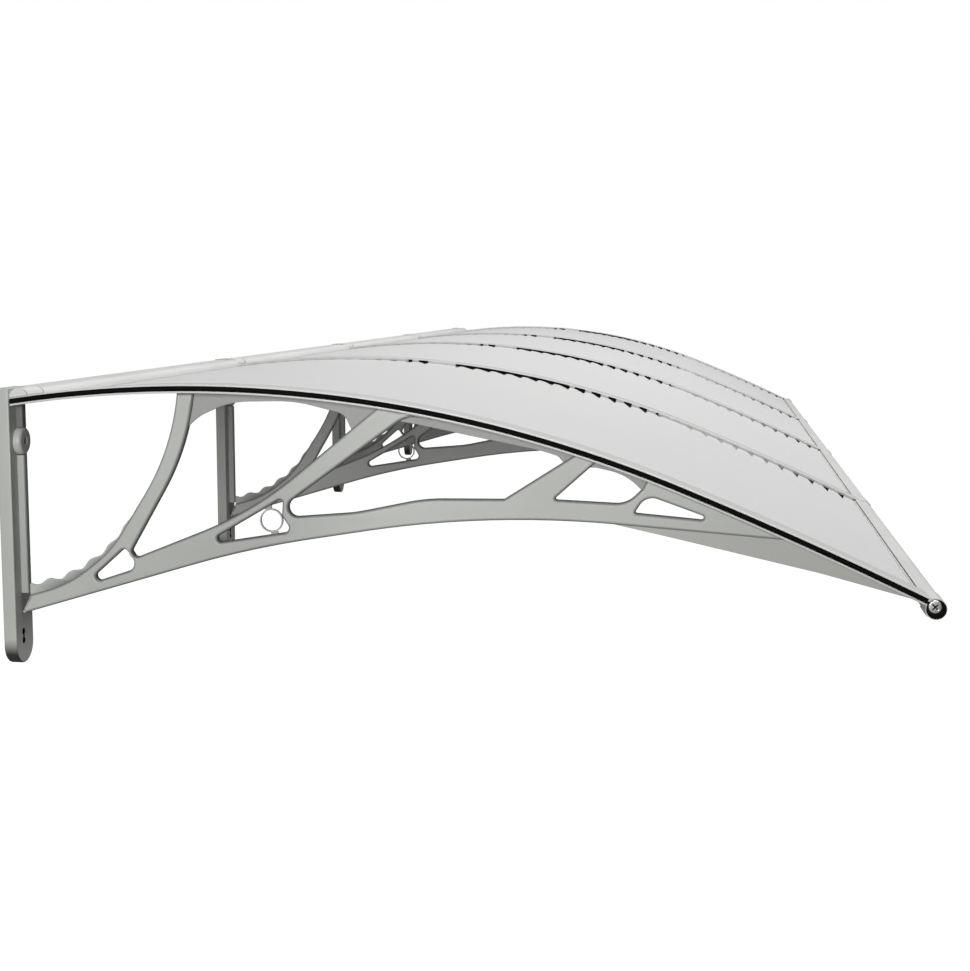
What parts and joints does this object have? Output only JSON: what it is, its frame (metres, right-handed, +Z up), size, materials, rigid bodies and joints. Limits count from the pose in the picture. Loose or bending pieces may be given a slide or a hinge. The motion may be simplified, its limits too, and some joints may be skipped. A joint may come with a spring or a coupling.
{
  "type": "door canopy",
  "caption": "Arched door canopy: curved roof sheets between joint profiles, carried by lattice brackets on wall posts, with round-nosed front bar, wall rails and toothed seals.",
  "frame": {"origin": "flat back of the middle wall post, at the height midway along the post", "axes": "+Z up, the wall is the plane y = 0 and the roof stands out from it toward -Y, +X along the width"},
  "size_m": [3.254, 1.03, 0.3185],
  "materials": {
    "bracket_paint": "satin light grey paint on cast aluminium",
    "post_paint": "satin grey paint",
    "cap_paint": "satin grey paint",
    "profile_paint": "pale anodised, satin",
    "roof_polycarbonate": "milky sheet with a soft gloss",
    "seal_rubber": "matte black",
    "disc_rubber": "matte black",
    "screw_steel": "bright"
  },
  "bodies": {
    "root": {"bracket_arm_1": "bracket_paint", "bracket_arm_2": "bracket_paint", "bracket_arm_3": "bracket_paint", "bracket_arm_4": "bracket_paint", "bracket_arm_5": "bracket_paint", "wall_post_1": "post_paint", "wall_post_2": "post_paint", "wall_post_3": "post_paint", "wall_post_4": "post_paint", "wall_post_5": "post_paint", "anchor_cap_1": "cap_paint", "anchor_cap_2": "cap_paint", "anchor_cap_3": "cap_paint", "anchor_cap_4": "cap_paint", "anchor_cap_5": "cap_paint", "arch_profile_1": "profile_paint", "arch_profile_2": "profile_paint", "arch_profile_3": "profile_paint", "arch_profile_4": "profile_paint", "arch_profile_5": "profile_paint", "front_sleeve_1": "profile_paint", "front_sleeve_2": "profile_paint", "front_sleeve_3": "profile_paint", "front_sleeve_4": "profile_paint", "front_sleeve_5": "profile_paint", "rail_cap_1": "profile_paint", "rail_cap_2": "profile_paint", "rail_cap_3": "profile_paint", "rail_cap_4": "profile_paint", "rail_cap_5": "profile_paint", "roof_sheet_1": "roof_polycarbonate", "roof_sheet_2": "roof_polycarbonate", "roof_sheet_3": "roof_polycarbonate", "roof_sheet_4": "roof_polycarbonate", "front_bar_1": "profile_paint", "front_bar_2": "profile_paint", "front_bar_3": "profile_paint", "front_bar_4": "profile_paint", "wall_rail_1": "profile_paint", "wall_rail_2": "profile_paint", "wall_rail_3": "profile_paint", "wall_rail_4": "profile_paint", "joint_seal_1": "seal_rubber", "joint_seal_2": "seal_rubber", "joint_seal_3": "seal_rubber", "joint_seal_4": "seal_rubber", "edge_gasket_left": "seal_rubber", "edge_gasket_right": "seal_rubber", "end_disc_left": "disc_rubber", "end_disc_right": "disc_rubber", "end_screw_left": "screw_steel", "end_screw_right": "screw_steel"}
  },
  "joints": []
}
